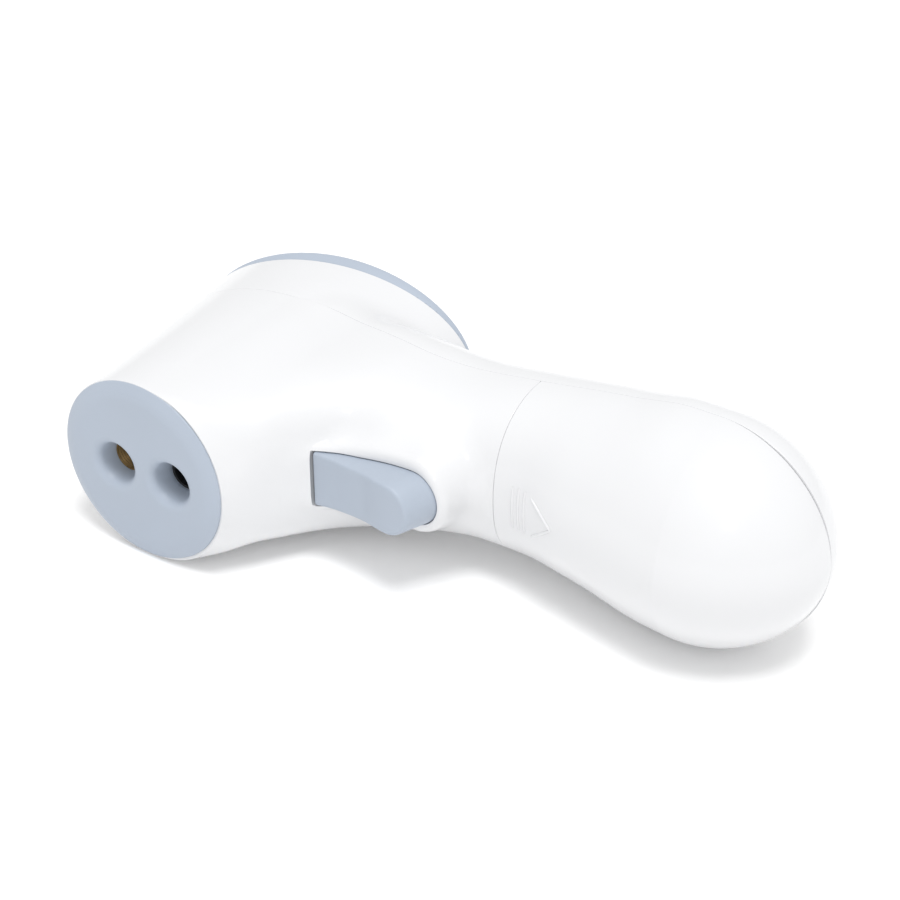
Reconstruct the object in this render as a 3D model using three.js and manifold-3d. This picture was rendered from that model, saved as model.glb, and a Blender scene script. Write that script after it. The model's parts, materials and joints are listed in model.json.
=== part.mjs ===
// A pistol-shaped non-contact digital thermometer, lying on its side.
// Tool frame, in millimetres: +X runs down the handle, +Y runs from the sensor face back to the
// display, and Z is across the tool, which is symmetric about its Z = 0 plane.
import * as THREE from 'three';
import { mergeVertices } from 'three/addons/utils/BufferGeometryUtils.js';
import Module from 'manifold-3d';

const wasm = await Module();
wasm.setup();

// ---------- driving dimensions ----------
const WALL = 2.0;                 // moulded shell thickness
const GAP = 0.3;                  // clearance between neighbouring pieces
const FACE_RADIUS = 18;           // round sensor end
const FACE_FRONT = -0.5;          // the bezel's flat face stands this far ahead of the round end
const FACE_SEAM = 0.1;            // and its eased edge ends here
const DISPLAY_X = 1.25;           // centre of the oval display end
const DISPLAY_Y = 57.4;
const DISPLAY_TILT = THREE.MathUtils.degToRad(9.3);
const DISPLAY_HALF_LENGTH = 29.7;
const DISPLAY_HALF_WIDTH = 18;
const DISPLAY_RIM = 3.5;          // visible height of the display bezel
const SKIRT_HALF_LENGTH = 26.6;   // the display bezel's rim inside the rear shell
const SKIRT_HALF_WIDTH = 15.2;
const BULB_START = 94.2;          // the handle's end is half an ellipsoid from here on
const BULB_LENGTH = 22;
const FACE_FLARE = 0.42;          // how fast the neck may swell past the sensor end's circle
const FACE_FLARE_GROWTH = 0.05;
const FACE_EASE = 0.4;
const FACE_REACH = 22;            // past this far down the handle the neck is let go of
const FACE_RELEASE = 3;
const FACE_BLEND = 0.8;
const NECK_START = 12;
const NECK_BLEND = 4;             // fillets where head, neck and trigger collar meet
const COLLAR_BLEND = 3.4;
const COLLAR_RADIUS = 7.1;
const COLLAR_FLARE = 0.32;
const COLLAR_DEPTH = 32;
const COVER_START = 57.6;         // seam between the neck and the battery cover
const OUTER_STEP = 3.5;           // mesh sizes of the moulded skins
const INNER_STEP = 5;
const END_OVERRUN = 11;           // the form is built this far past both open ends, then trimmed
const TRIGGER_HEAD_X = 27.3;
const TRIGGER_END_CENTRE = 45.5;
const TRIGGER_HALF_WIDTH = 5.2;
const TRIGGER_HEAD_WIDTH = 5.65;  // half width at the head end
const TRIGGER_EVEN_X = 35;        // parallel-sided from here on
const TRIGGER_PIVOT = [30.5, 20.6];
const TRIGGER_BACK = 21.6;
const PIN_RADIUS = 0.95;
const PIN_LENGTH = 15.6;
const SENSOR_X = -5.55;           // the two openings in the sensor face
const DISTANCE_X = 7.1;
const EDGE_WIDTH = 2.4;           // how far in from the rim the face starts to ease back
const SPIGOT_RADIUS = 15.5;       // the bezel's rim that plugs into the front shell
const SPIGOT_END = 4.6;
const FUNNEL_MOUTH = 4.4;
const FUNNEL_THROAT = 3.5;
const FUNNEL_DEPTH = 3.2;
const CELL_RADIUS = 5.2;
const CELL_LENGTH = 44.5;
const CELL_Y = 36.2;
const CELL_Z = 5.7;
const CELL_START = 61.8;
const REST_TILT = THREE.MathUtils.degToRad(2);     // the bulb is wider than the head
const REST_SHIFT = [-43.812, -32.569, 18.012];      // puts the lying tool's box on the origin

// ---------- materials ----------
const plastic = (color, roughness = 0.35) => new THREE.MeshStandardMaterial({ color, roughness });
const metal = (color, roughness = 0.3) => new THREE.MeshStandardMaterial({ color, roughness, metalness: 1 });
const WHITE = plastic(0xf4f5f6, 0.25);
const BLUE_GREY = plastic(0xb4bcc8, 0.5);
const BLACK = plastic(0x1b1c1e, 0.5);
const LENS = plastic(0x20262c, 0.08);
const RUBBER = plastic(0x8d949c, 0.8);
const BOARD = plastic(0x1f5c3a, 0.5);
const BRASS = metal(0xb08a4a, 0.3);
const STEEL = metal(0xc3c6c9, 0.3);
const CELL = plastic(0x2f4f7a, 0.35);
const RED = plastic(0xa8302c, 0.5);

// ---------- solids ----------
function solid(geometry) {
  const bare = geometry.clone();
  for (const name of Object.keys(bare.attributes)) {
    if (name !== 'position') bare.deleteAttribute(name);
  }
  const merged = mergeVertices(bare, 1e-4);
  return new wasm.Manifold(new wasm.Mesh({
    numProp: 3,
    vertProperties: new Float32Array(merged.attributes.position.array),
    triVerts: new Uint32Array(merged.index.array),
  }));
}

function geometryOf(manifold) {
  const mesh = manifold.getMesh();
  const geometry = new THREE.BufferGeometry();
  geometry.setAttribute('position', new THREE.BufferAttribute(new Float32Array(mesh.vertProperties), 3));
  geometry.setIndex(new THREE.BufferAttribute(new Uint32Array(mesh.triVerts), 1));
  geometry.computeVertexNormals();
  return geometry;
}

const join = (first, ...rest) => rest.reduce((sum, next) => sum.add(next), first);
const cut = (first, ...rest) => rest.reduce((sum, next) => sum.subtract(next), first);

function block(low, high) {
  const size = low.map((value, axis) => high[axis] - value);
  const middle = low.map((value, axis) => (value + high[axis]) / 2);
  return solid(new THREE.BoxGeometry(...size).translate(...middle));
}

// An outline drawn in X and Z, made solid from y0 to y1.
function plate(shape, y0, y1, segments = 12) {
  const geometry = new THREE.ExtrudeGeometry(shape, {
    depth: y1 - y0, bevelEnabled: false, curveSegments: segments,
  });
  return solid(geometry.rotateX(Math.PI / 2).translate(0, y1, 0));
}

// An outline drawn in X and Y, made solid from z0 to z1.
function prism(shape, z0, z1, segments = 12) {
  const geometry = new THREE.ExtrudeGeometry(shape, {
    depth: z1 - z0, bevelEnabled: false, curveSegments: segments,
  });
  return solid(geometry.translate(0, 0, z0));
}

function rod(radius, y0, y1, x = 0, z = 0, sides = 16) {
  const geometry = new THREE.CylinderGeometry(radius, radius, y1 - y0, sides);
  return solid(geometry.translate(x, (y0 + y1) / 2, z));
}

// A [radius, y] outline turned about the line through (x, z) along Y.
function turned(outline, x = 0, z = 0, sides = 24) {
  const points = outline.map(([radius, y]) => new THREE.Vector2(radius, y));
  return solid(new THREE.LatheGeometry(points, sides).translate(x, 0, z));
}

function tube(outer, inner, y0, y1, x, z, sides = 24) {
  return turned([[inner, y0], [outer, y0], [outer, y1], [inner, y1], [inner, y0]], x, z, sides);
}

function polygon(points) {
  return new THREE.Shape(points.map(([x, y]) => new THREE.Vector2(x, y)));
}

function oval(halfLength, halfWidth, centre = 0) {
  const shape = new THREE.Shape();
  shape.absellipse(centre, 0, halfLength, halfWidth, 0, 2 * Math.PI, false, 0);
  return shape;
}

function roundedBox(halfLength, halfWidth, radius, centre = 0) {
  const shape = new THREE.Shape();
  const [x, z] = [halfLength - radius, halfWidth - radius];
  shape.absarc(centre + x, z, radius, 0, Math.PI / 2, false);
  shape.absarc(centre - x, z, radius, Math.PI / 2, Math.PI, false);
  shape.absarc(centre - x, -z, radius, Math.PI, Math.PI * 1.5, false);
  shape.absarc(centre + x, -z, radius, -Math.PI / 2, 0, false);
  return shape;
}

// The trigger's outline: straight across at its head, narrowing a little, and round at the far end.
function triggerOutline(clearance) {
  const shape = new THREE.Shape();
  const headX = TRIGGER_HEAD_X - clearance;
  const headWidth = TRIGGER_HEAD_WIDTH + clearance;
  const width = TRIGGER_HALF_WIDTH + clearance;
  shape.moveTo(headX, -headWidth);
  shape.lineTo(TRIGGER_EVEN_X, -width);
  shape.absarc(TRIGGER_END_CENTRE, 0, width, -Math.PI / 2, Math.PI / 2, false);
  shape.lineTo(TRIGGER_EVEN_X, width);
  shape.lineTo(headX, headWidth);
  return shape;
}

// ---------- outer form ----------
// A smooth curve through a few [x, value] stations, flat beyond the first and last.
function curve(stations) {
  const slope = stations.map((station, i) => {
    const before = stations[Math.max(i - 1, 0)];
    const after = stations[Math.min(i + 1, stations.length - 1)];
    const rise = (a, b) => (b[1] - a[1]) / (b[0] - a[0]);
    if (before === station) return rise(station, after);
    if (after === station) return rise(before, station);
    const left = station[0] - before[0];
    const right = after[0] - station[0];
    return (rise(before, station) * right + rise(station, after) * left) / (left + right);
  });
  const last = stations.length - 2;
  return (at) => {
    const x = THREE.MathUtils.clamp(at, stations[0][0], stations[last + 1][0]);
    let i = 0;
    while (i < last && x > stations[i + 1][0]) i += 1;
    const span = stations[i + 1][0] - stations[i][0];
    const t = (x - stations[i][0]) / span;
    return stations[i][1] * (1 + 2 * t) * (1 - t) ** 2 + stations[i + 1][1] * t * t * (3 - 2 * t)
      + span * (slope[i] * t * (1 - t) ** 2 + slope[i + 1] * t * t * (t - 1));
  };
}

// Where the front and rear shells meet.
const splitY = curve([[-28, 38.5], [0, 41.8], [14, 42.7], [24, 41.4], [34, 40.4], [46, 41.9],
  [58, 42.4], [70, 43], [84, 41.9], [95, 41], [106, 39.9], [117, 39]]);
// The neck and handle: front edge, back edge, half width, and how square the front half is.
const frontY = curve([[8, -30], [14, -10], [18, 0.5], [21, 5.9], [24, 11], [27, 15.1], [31, 19],
  [37, 21], [44, 23.3], [52, 26], [61, 26.7], [71, 24.3], [82, 21.7], [93, 19.4]]);
const backY = curve([[8, 55], [30, 56.5], [45, 57.5], [60, 58.4], [75, 58.6], [93, 56.6]]);
const halfWidth = curve([[8, 16.4], [30, 16.9], [45, 15.3], [57, 16.4], [66, 17.4], [76, 18.9],
  [86, 21], [93, 21.3]]);
const squareness = curve([[8, 3.3], [30, 3.1], [45, 2.5], [58, 2.3], [75, 2.05], [93, 1.9]]);
// The raised collar's edge beside the trigger.
const collarY = curve([[24, 13], [27, 14.8], [33, 17.6], [37, 18.7], [44.5, 19.6], [51, 19],
  [60, 18.5]]);

// Distance, near the surface, to |u|^n + |v|^n + |w|^n = 1, where each term is a length over a radius.
function superellipse(terms, radii, power) {
  const sizes = terms.map((term) => Math.abs(term) + 1e-9);
  const reach = sizes.reduce((sum, size) => sum + size ** power, 0) ** (1 / power);
  const slopes = sizes.map((size, i) => size ** (power - 1) / radii[i]);
  return (reach - 1) / (reach ** (1 - power) * Math.hypot(...slopes));
}

function blend(a, b, radius) {
  const share = Math.max(radius - Math.abs(a - b), 0) / radius;
  return Math.min(a, b) - (share * share * radius) / 4;
}

function headField(x, y, z) {
  const share = y / (DISPLAY_Y + Math.tan(DISPLAY_TILT) * (x - DISPLAY_X));
  const length = THREE.MathUtils.lerp(FACE_RADIUS, DISPLAY_HALF_LENGTH * Math.cos(DISPLAY_TILT), share);
  const width = THREE.MathUtils.lerp(FACE_RADIUS, DISPLAY_HALF_WIDTH, share);
  return superellipse([(x - DISPLAY_X * share) / length, 0, z / width], [length, 1, width], 2);
}

function neckField(x, y, z) {
  const middle = splitY(x);
  const front = y < middle;
  const depth = front ? middle - frontY(x) : backY(x) - middle;
  const width = halfWidth(x);
  const end = Math.max(x - BULB_START, 0) / BULB_LENGTH + Math.max(NECK_START - x, 0) / NECK_START;
  const terms = [end, (y - middle) / depth, z / width];
  return superellipse(terms, [BULB_LENGTH, depth, width], front ? squareness(x) : 2);
}

function collarField(x, y, z) {
  const along = THREE.MathUtils.clamp(x, TRIGGER_HEAD_X + 3.7, TRIGGER_END_CENTRE - 0.5);
  const side = Math.hypot(x - along, z) - COLLAR_RADIUS - COLLAR_FLARE * Math.max(y - 19, -2);
  return -blend(-Math.max(side, y - COLLAR_DEPTH), y - collarY(x), 1.5);
}

// Keeps the neck inside the round sensor end beside the face, and lets go of it further back.
function faceLimit(x, y, z) {
  const back = Math.max(y - FACE_SEAM, 0);
  const swell = FACE_FLARE * back + FACE_FLARE_GROWTH * back ** 2;
  const freed = FACE_RELEASE * Math.max(x - FACE_REACH, 0);
  return Math.hypot(x, z) - FACE_RADIUS - FACE_EASE - swell - freed;
}

// The whole outer form, closed just past the sensor face and just past the display end.
function bodyField(x, y, z) {
  const main = blend(headField(x, y, z), neckField(x, y, z), NECK_BLEND);
  const trimmed = -blend(-main, -faceLimit(x, y, z), FACE_BLEND);
  const whole = blend(trimmed, collarField(x, y, z), COLLAR_BLEND);
  const pastDisplay = y - DISPLAY_Y - Math.tan(DISPLAY_TILT) * (x - DISPLAY_X) - END_OVERRUN;
  return Math.max(whole, -END_OVERRUN - y, pastDisplay);
}

// The closed surface where field(x, y, z) is zero, as quads around each crossed grid edge.
function isoSurface(field, low, high, step) {
  const count = low.map((value, axis) => Math.ceil((high[axis] - value) / step) + 1);
  const at = (i, j, k) => (i * count[1] + j) * count[2] + k;
  const place = (index) => index.map((value, axis) => low[axis] + value * step);
  const values = new Float64Array(count[0] * count[1] * count[2]);
  const indices = [];
  for (let i = 0; i < count[0]; i += 1) {
    for (let j = 0; j < count[1]; j += 1) {
      for (let k = 0; k < count[2]; k += 1) {
        values[at(i, j, k)] = field(...place([i, j, k]));
        indices.push([i, j, k]);
      }
    }
  }
  const sums = new Map();
  const quads = [];
  for (const index of indices) {
    for (let axis = 0; axis < 3; axis += 1) {
      if (index[axis] + 1 >= count[axis]) continue;
      const next = index.map((value, i) => value + (i === axis ? 1 : 0));
      const a = values[at(...index)];
      const b = values[at(...next)];
      if ((a < 0) === (b < 0)) continue;
      const share = a / (a - b);
      const crossing = place(index.map((value, i) => value + (i === axis ? share : 0)));
      const second = (axis + 1) % 3;
      const third = (axis + 2) % 3;
      const ring = [[-1, -1], [0, -1], [0, 0], [-1, 0]].map(([m, n]) => {
        const cell = [...index];
        cell[second] += m;
        cell[third] += n;
        const key = at(...cell);
        const sum = sums.get(key) ?? { total: [0, 0, 0], number: 0, order: sums.size };
        crossing.forEach((value, i) => { sum.total[i] += value; });
        sum.number += 1;
        sums.set(key, sum);
        return sum.order;
      });
      quads.push(a < 0 ? ring : ring.reverse());
    }
  }
  const positions = [];
  for (const { total, number } of sums.values()) {
    positions.push(...settle(field, total.map((value) => value / number)));
  }
  const geometry = new THREE.BufferGeometry();
  geometry.setAttribute('position', new THREE.Float32BufferAttribute(positions, 3));
  geometry.setIndex(quads.flatMap(([a, b, c, d]) => [a, b, c, a, c, d]));
  return solid(geometry);
}

// Moves a point along the field's slope onto its surface.
function settle(field, start) {
  const reach = 1e-3;
  let point = start;
  for (let round = 0; round < 3; round += 1) {
    const value = field(...point);
    const slope = point.map((_, axis) => {
      const ahead = point.map((v, i) => v + (i === axis ? reach : 0));
      return (field(...ahead) - value) / reach;
    });
    const size = Math.max(slope.reduce((sum, s) => sum + s * s, 0), 1e-6);
    point = point.map((v, i) => v - (slope[i] * value) / size);
  }
  return point;
}

// ---------- shared cutters ----------
const FIELD_LOW = [-36, -15, -24];
const FIELD_HIGH = [122, 78, 24];

// Everything in front of (or behind) the line where the shells meet, shifted by a gap.
function splitSide(front, shift) {
  const points = [];
  for (let x = -44; x <= 132; x += 4) points.push([x, splitY(x) + shift]);
  const edge = front ? -60 : 120;
  points.push([132, edge], [-44, edge]);
  return prism(polygon(front ? points.reverse() : points), -40, 40);
}

// The display end's own frame: its local Y is the display's outward direction.
function atDisplay(manifold) {
  const turn = (DISPLAY_TILT * 180) / Math.PI;
  return manifold.rotate([0, 0, turn]).translate([DISPLAY_X, DISPLAY_Y, 0]);
}

function triggerPocket(clearance, y0, y1) {
  return plate(triggerOutline(clearance), y0, y1);
}

function pinRod(radius, length) {
  const geometry = new THREE.CylinderGeometry(radius, radius, length, 12).rotateX(Math.PI / 2);
  return solid(geometry.translate(...TRIGGER_PIVOT, 0));
}

const roomBelowDisplay = atDisplay(block([-120, -150, -60], [180, -GAP / 2, 60]));
const roomBehindFace = block([-60, FACE_SEAM + GAP, -60], [160, 120, 60]);
const bodySolid = isoSurface(bodyField, FIELD_LOW, FIELD_HIGH, OUTER_STEP)
  .intersect(roomBelowDisplay).intersect(roomBehindFace);
const bodyHollow = isoSurface((x, y, z) => bodyField(x, y, z) + WALL, FIELD_LOW, FIELD_HIGH, INNER_STEP);
const skin = bodySolid.subtract(bodyHollow);
const frontSide = splitSide(true, -GAP / 2);
const rearSide = splitSide(false, GAP / 2);

// ---------- housing ----------
function frontShell() {
  const neckOnly = block([-60, -20, -40], [COVER_START - GAP / 2, 80, 40]);
  const [pivotX, pivotY] = TRIGGER_PIVOT;
  const bosses = [-1, 1].map((side) => {
    const inner = TRIGGER_HALF_WIDTH + 0.6;
    const zs = [side * inner, side * (inner + 2.6)].sort((a, b) => a - b);
    return block([pivotX - 2.4, 12, zs[0]], [pivotX + 2.4, pivotY + 2.4, zs[1]]);
  });
  const posts = [-1, 1].map((side) => {
    const zs = [side * 6.4, side * 8.2].sort((a, b) => a - b);
    return block([37, 18, zs[0]], [49, 27, zs[1]]);
  });
  const inside = join(...bosses, ...posts).intersect(bodySolid);
  const shell = skin.intersect(frontSide).intersect(neckOnly);
  return cut(shell.add(inside), triggerPocket(0.35, 5, 24), pinRod(PIN_RADIUS + GAP, PIN_LENGTH + 1),
    rod(SPIGOT_RADIUS + GAP, -5, SPIGOT_END + GAP, 0, 0, 48));
}

function rearShell() {
  const posts = [72, 96].map((x) => rod(2.8, 44.9, 70, x, 0));
  const bores = [72, 96].map((x) => rod(1.3, 40, 54, x, 0, 12));
  const shell = skin.intersect(rearSide);
  const skirtRoom = plate(oval(SKIRT_HALF_LENGTH + GAP, SKIRT_HALF_WIDTH + GAP), -3, 6);
  return cut(join(shell, ...posts.map((post) => post.intersect(bodySolid))), ...bores, atDisplay(skirtRoom));
}

function batteryCover() {
  const coverOnly = block([COVER_START + GAP / 2, -20, -40], [160, 80, 40]);
  const tongue = block([COVER_START - 3.2, 29.4, -3.6], [COVER_START + 4, 30.8, 3.6]);
  const root = block([COVER_START + 1.6, 20, -3.6], [COVER_START + 4, 30, 3.6]).intersect(bodySolid);
  return join(skin.intersect(frontSide).intersect(coverOnly), root, tongue);
}

function sensorBezel() {
  const edge = [];
  for (let step = 0; step <= 3; step += 1) {
    const angle = (step / 3) * (Math.PI / 2);
    const y = THREE.MathUtils.lerp(FACE_SEAM, FACE_FRONT, Math.cos(angle));
    edge.push([FACE_RADIUS - EDGE_WIDTH - 0.1 + EDGE_WIDTH * Math.sin(angle), y]);
  }
  const disc = turned([[0, FACE_FRONT], ...edge, [SPIGOT_RADIUS, FACE_SEAM],
    [SPIGOT_RADIUS, SPIGOT_END], [14, SPIGOT_END], [14, 2.2], [0, 2.2], [0, FACE_FRONT]], 0, 0, 48);
  const tubes = [SENSOR_X, DISTANCE_X].map((x) => rod(5, 1, FUNNEL_DEPTH + 1, x, 0, 24));
  const funnels = [SENSOR_X, DISTANCE_X].map((x) => turned([
    [0, -1], [FUNNEL_MOUTH, -1], [FUNNEL_MOUTH, FACE_FRONT], [3.9, 0.6], [FUNNEL_THROAT, FUNNEL_DEPTH],
    [FUNNEL_THROAT, 8], [0, 8], [0, -1]], x, 0, 24));
  return cut(join(disc, ...tubes), ...funnels);
}

// ---------- sensor end ----------
function sensorHolder() {
  const body = plate(oval(13.6, 12.4, 0.8), 5.6, 12.6);
  const bores = [SENSOR_X, DISTANCE_X].map((x) => rod(3.6, 0, 20, x, 0, 20));
  const screwBores = [-9, 9].map((z) => rod(1.2, 8, 20, 0.8, z, 12));
  return cut(body, ...bores, ...screwBores);
}

const sensorTube = () => tube(3.2, 2.75, 3, 13.2, SENSOR_X, 0);
const distanceHood = () => tube(3.2, 2.7, 3.8, 12.2, DISTANCE_X, 0);

function thermopileCan() {
  const can = turned([[0, 10.4], [2.4, 10.4], [2.4, 13.5], [4.1, 13.5], [4.1, 14.3], [0, 14.3], [0, 10.4]],
    SENSOR_X, 0);
  const legs = [[-1.8, 0], [1.8, 0], [0, 1.8]].map(([x, z]) => rod(0.3, 14, 17, SENSOR_X + x, z, 8));
  return join(can, ...legs);
}

const thermopileWindow = () => rod(1.7, 9.6, 10.1, SENSOR_X, 0, 20);

function distanceSensor() {
  const base = block([DISTANCE_X - 3.6, 12.95, -3.6], [DISTANCE_X + 3.6, 15, 3.6]);
  const eyes = [-1.2, 1.2].map((z) => rod(0.9, 11.4, 13, DISTANCE_X, z, 12));
  return join(base, ...eyes);
}

function sensorBoard() {
  const holes = [-9, 9].map((z) => rod(1.2, 14, 22, 0.8, z, 12));
  return cut(plate(oval(14, 13, 0.8), 17.3, 18.5), ...holes);
}

// A pan-head screw whose head is at y and whose point is `length` ahead of it along direction.
function screw(y, length, direction, x, z, shank = 0.9, head = 1.9) {
  const outline = [[0, y - direction * 1.3], [head * 0.7, y - direction * 1.3], [head, y - direction * 0.6],
    [head, y], [shank, y], [shank, y + direction * (length - 1)], [0, y + direction * length]];
  return turned(direction > 0 ? outline : outline.reverse(), x, z, 12);
}

// ---------- display end, in the display's own frame ----------
const WINDOW_X = -4;
const LCD_HALF_LENGTH = 12.4;
const LCD_HALF_WIDTH = 9.4;
const WINDOW_EDGE = 1.2;          // ledge that the window rests on
const BUTTON_X = 16.4;
const BUTTON_ZS = [-7.3, 0, 7.3];
const BUTTON_RADIUS = 2.85;
const BOARD_LOW = -7.4;
const BOARD_HIGH = -5.8;
const BOARD_SCREW_XS = [-22.6, 23];

function displayBezel() {
  const rim = plate(oval(DISPLAY_HALF_LENGTH - 0.1, DISPLAY_HALF_WIDTH - 0.1), GAP / 2, DISPLAY_RIM, 18);
  const skirt = plate(oval(SKIRT_HALF_LENGTH, SKIRT_HALF_WIDTH), -2.2, 1).subtract(plate(oval(25.8, 14.6), -4, GAP / 2));
  const posts = BOARD_SCREW_XS.map((x) => rod(2, BOARD_HIGH + GAP, 1, x, 0));
  const bores = BOARD_SCREW_XS.map((x) => rod(1.1, -9, -1, x, 0, 12));
  const opening = plate(windowOutline(0), -5, 6, 4);
  const recess = plate(windowOutline(WINDOW_EDGE), 1.5, 6, 4);
  const holes = BUTTON_ZS.map((z) => rod(BUTTON_RADIUS + 0.3, -5, 6, BUTTON_X, z, 20));
  return cut(join(rim, skirt, ...posts), ...bores, opening, recess, ...holes);
}

function windowOutline(margin) {
  return roundedBox(LCD_HALF_LENGTH + margin, LCD_HALF_WIDTH + margin, 3.5 + margin, WINDOW_X);
}

// A block as long and wide as the display panel, less or more a margin.
function lcdBlock(margin, low, high) {
  const [length, width] = [LCD_HALF_LENGTH + margin, LCD_HALF_WIDTH + margin];
  return block([WINDOW_X - length, low, -width], [WINDOW_X + length, high, width]);
}

const displayWindow = () => plate(windowOutline(WINDOW_EDGE - GAP), 1.8, DISPLAY_RIM - 0.7, 4);
const lcdPanel = () => lcdBlock(0, -1.9, -0.3);
const lcdBacklight = () => lcdBlock(-1.8, -5.2, -2.3);
const lcdFrame = () => lcdBlock(1, -5.4, -0.4).subtract(lcdBlock(GAP, -8, 3));

function zebraStrip(side) {
  const zs = [side * 8, side * 9.3].sort((a, b) => a - b);
  return block([WINDOW_X - 11.5, -5.2, zs[0]], [WINDOW_X + 11.5, -2.3, zs[1]]);
}

function mainBoard() {
  const holes = BOARD_SCREW_XS.map((x) => rod(1.1, -12, 0, x, 0, 12));
  return cut(plate(oval(25.2, 14.4), BOARD_LOW, BOARD_HIGH, 16), ...holes);
}

const microcontroller = () => block([-8, BOARD_LOW - 1.7, -4], [0, BOARD_LOW - GAP, 4]);
const buzzer = () => rod(5, BOARD_LOW - 3.4, BOARD_LOW - GAP, 10.5, 0, 24);

function buttonMembrane() {
  const sheet = block([BUTTON_X - 4, -5.4, -13], [BUTTON_X + 2.6, -4.4, 13]);
  const domes = BUTTON_ZS.map((z) => turned([[0, -4.6], [2.2, -4.6], [1.6, -2.5], [0, -2.5]], BUTTON_X, z, 16));
  const corners = plate(oval(24.4, 13.7), -8, 0, 16);
  return join(sheet, ...domes).intersect(corners);
}

function button(z) {
  return turned([[0, -2.2], [BUTTON_RADIUS + 0.6, -2.2], [BUTTON_RADIUS + 0.6, -1.4], [BUTTON_RADIUS, -1.4],
    [BUTTON_RADIUS, 3.4], [BUTTON_RADIUS - 0.6, 4], [0, 4.1]], BUTTON_X, z, 20);
}

// ---------- trigger ----------
function trigger() {
  const [pivotX, pivotY] = TRIGGER_PIVOT;
  const profile = polygon([[TRIGGER_HEAD_X, 15.1], [28.2, 14.7], [38, 14.6], [44, 13.7], [47.8, 13],
    [48.9, 13.6], [50.7, 19.5], [50.7, TRIGGER_BACK], [33.6, TRIGGER_BACK], [33, pivotY + 1.6],
    [31.6, pivotY + 2.2], [29.4, pivotY + 2.2], [28.2, pivotY + 1], [TRIGGER_HEAD_X, 18]]);
  return prism(profile, -9, 9).intersect(triggerPocket(0, 5, 24)).subtract(pinRod(PIN_RADIUS + GAP, 40));
}

const triggerPin = () => pinRod(PIN_RADIUS, PIN_LENGTH);

// A coil spring along Y, one closed wire.
function coil(radius, wire, turns, y0, y1, x, z) {
  const points = [];
  const steps = turns * 8;
  for (let step = 0; step <= steps; step += 1) {
    const angle = (step / steps) * turns * 2 * Math.PI;
    const y = THREE.MathUtils.lerp(y0 + wire, y1 - wire, step / steps);
    points.push(new THREE.Vector3(x + radius * Math.cos(angle), y, z + radius * Math.sin(angle)));
  }
  return wireAlong(points, wire, steps, 5);
}

function wireAlong(points, radius, steps, sides) {
  const section = [];
  for (let side = 0; side < sides; side += 1) {
    const angle = (side / sides) * 2 * Math.PI;
    section.push([radius * Math.cos(angle), radius * Math.sin(angle)]);
  }
  return solid(new THREE.ExtrudeGeometry(polygon(section), {
    steps, bevelEnabled: false, extrudePath: new THREE.CatmullRomCurve3(points),
  }));
}

const SWITCH_X = 44;
const triggerSpring = () => coil(1.5, 0.25, 4, TRIGGER_BACK + 0.35, 27, 37.5, 0);

function triggerSwitch() {
  const body = block([SWITCH_X - 3, 23.4, -3], [SWITCH_X + 3, 27.1, 3]);
  return body.subtract(rod(1.3, 20, 26.4, SWITCH_X, 0, 16));
}

const switchPlunger = () => rod(0.95, TRIGGER_BACK + GAP, 25.2, SWITCH_X, 0, 16);
const switchBoard = () => block([33.4, 27.4, -8], [47.4, 28.6, 8]);

// ---------- battery compartment ----------
const TRAY_START = 58.4;
const TRAY_END = 109;
const TRAY_TAPER = 106.4;
const TRAY_FLOOR = 43.2;
const TRAY_EDGE = 36.8;

function trayOutline(inset) {
  return polygon([[TRAY_START + inset, -12.3 + inset], [TRAY_TAPER, -12.3 + inset], [TRAY_END - inset, -9.8 + inset],
    [TRAY_END - inset, 9.8 - inset], [TRAY_TAPER, 12.3 - inset], [TRAY_START + inset, 12.3 - inset]]);
}

function batteryTray() {
  const walls = plate(trayOutline(0), TRAY_EDGE, TRAY_FLOOR + 1.2);
  const room = plate(trayOutline(1), 20, TRAY_FLOOR);
  const holes = [72, 96].map((x) => rod(1.3, 30, 50, x, 0, 12));
  return cut(walls, room, ...holes);
}

function cell(z, nub) {
  const end = CELL_START + CELL_LENGTH;
  const body = [[0, CELL_START], [4.6, CELL_START], [CELL_RADIUS, CELL_START + 0.7], [CELL_RADIUS, end - 1.7],
    [4.6, end - 1.2], [1.9, end - 1.2], [1.9, end], [0, end]];
  const points = body.map(([radius, along]) => new THREE.Vector2(radius, along));
  const geometry = new THREE.LatheGeometry(points, 20).translate(0, -CELL_START - CELL_LENGTH / 2, 0);
  geometry.rotateZ(nub * -Math.PI / 2);
  return solid(geometry.translate(CELL_START + CELL_LENGTH / 2, CELL_Y, z));
}

// A cone of wire that presses on a cell's flat end, with its mounting plate.
function contactSpring(plateX, tipX, z) {
  const steps = 24;
  const points = [];
  for (let step = 0; step <= steps; step += 1) {
    const angle = (step / steps) * 3 * 2 * Math.PI;
    const radius = THREE.MathUtils.lerp(3.4, 1.8, step / steps);
    const x = THREE.MathUtils.lerp(plateX, tipX, step / steps);
    points.push(new THREE.Vector3(x, CELL_Y + radius * Math.cos(angle), z + radius * Math.sin(angle)));
  }
  return wireAlong(points, 0.25, steps, 5);
}

function contactPlate(x0, x1, zLow, zHigh) {
  return block([x0, 34.2, zLow], [x1, TRAY_FLOOR - GAP, zHigh]);
}

const contactPlus = () => contactPlate(59.8, 60.3, 1.8, 10);
const contactMinus = () => contactPlate(59.8, 60.3, -10, -1.8).add(contactSpring(60.2, 61.1, -CELL_Z));
const bridgeContact = () => contactPlate(107.3, 107.7, -8.6, 8.6).add(contactSpring(107.6, 107, CELL_Z));

// ---------- wiring ----------
function wire(points, radius = 0.5) {
  return wireAlong(points.map((point) => new THREE.Vector3(...point)), radius, 12, 6);
}

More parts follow.
